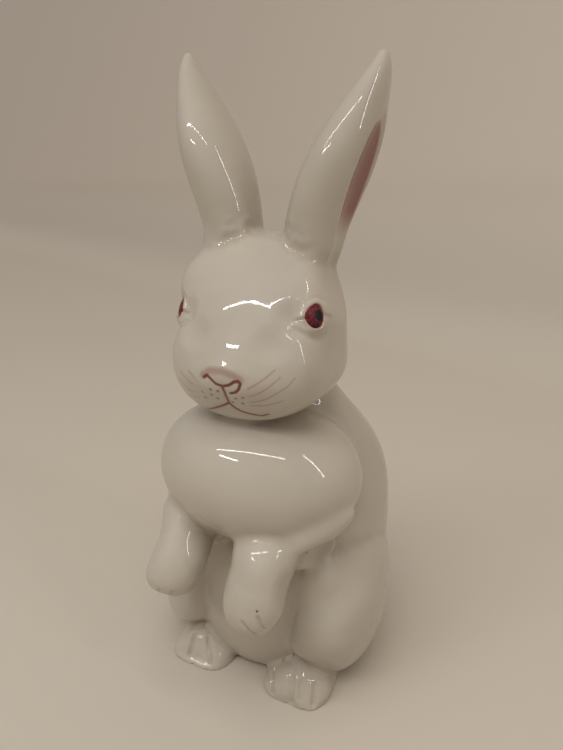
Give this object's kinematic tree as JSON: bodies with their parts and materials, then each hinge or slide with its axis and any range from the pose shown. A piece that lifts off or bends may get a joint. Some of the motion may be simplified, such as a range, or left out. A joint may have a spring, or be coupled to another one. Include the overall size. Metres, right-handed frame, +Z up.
{
  "type": "ceramic rabbit figurine",
  "caption": "Free-standing sitting rabbit in white glazed porcelain with upright ears, hanging forepaws and inlaid red glass eyes.",
  "frame": {"origin": "on the resting plane under the middle of the body", "axes": "+Z up along the upright body and ears, -Y the way the rabbit faces, +X its own left"},
  "size_m": [0.129, 0.1561, 0.305],
  "materials": {
    "porcelain": "glossy warm white glaze",
    "eye_glass": "opaque dark red polished glass"
  },
  "bodies": {
    "root": {"torso": "porcelain", "head": "porcelain", "left_ear": "porcelain", "right_ear": "porcelain", "left_foreleg": "porcelain", "right_foreleg": "porcelain", "left_haunch": "porcelain", "right_haunch": "porcelain", "left_hind_foot": "porcelain", "right_hind_foot": "porcelain", "tail": "porcelain", "left_eye": "eye_glass", "right_eye": "eye_glass"}
  },
  "joints": []
}
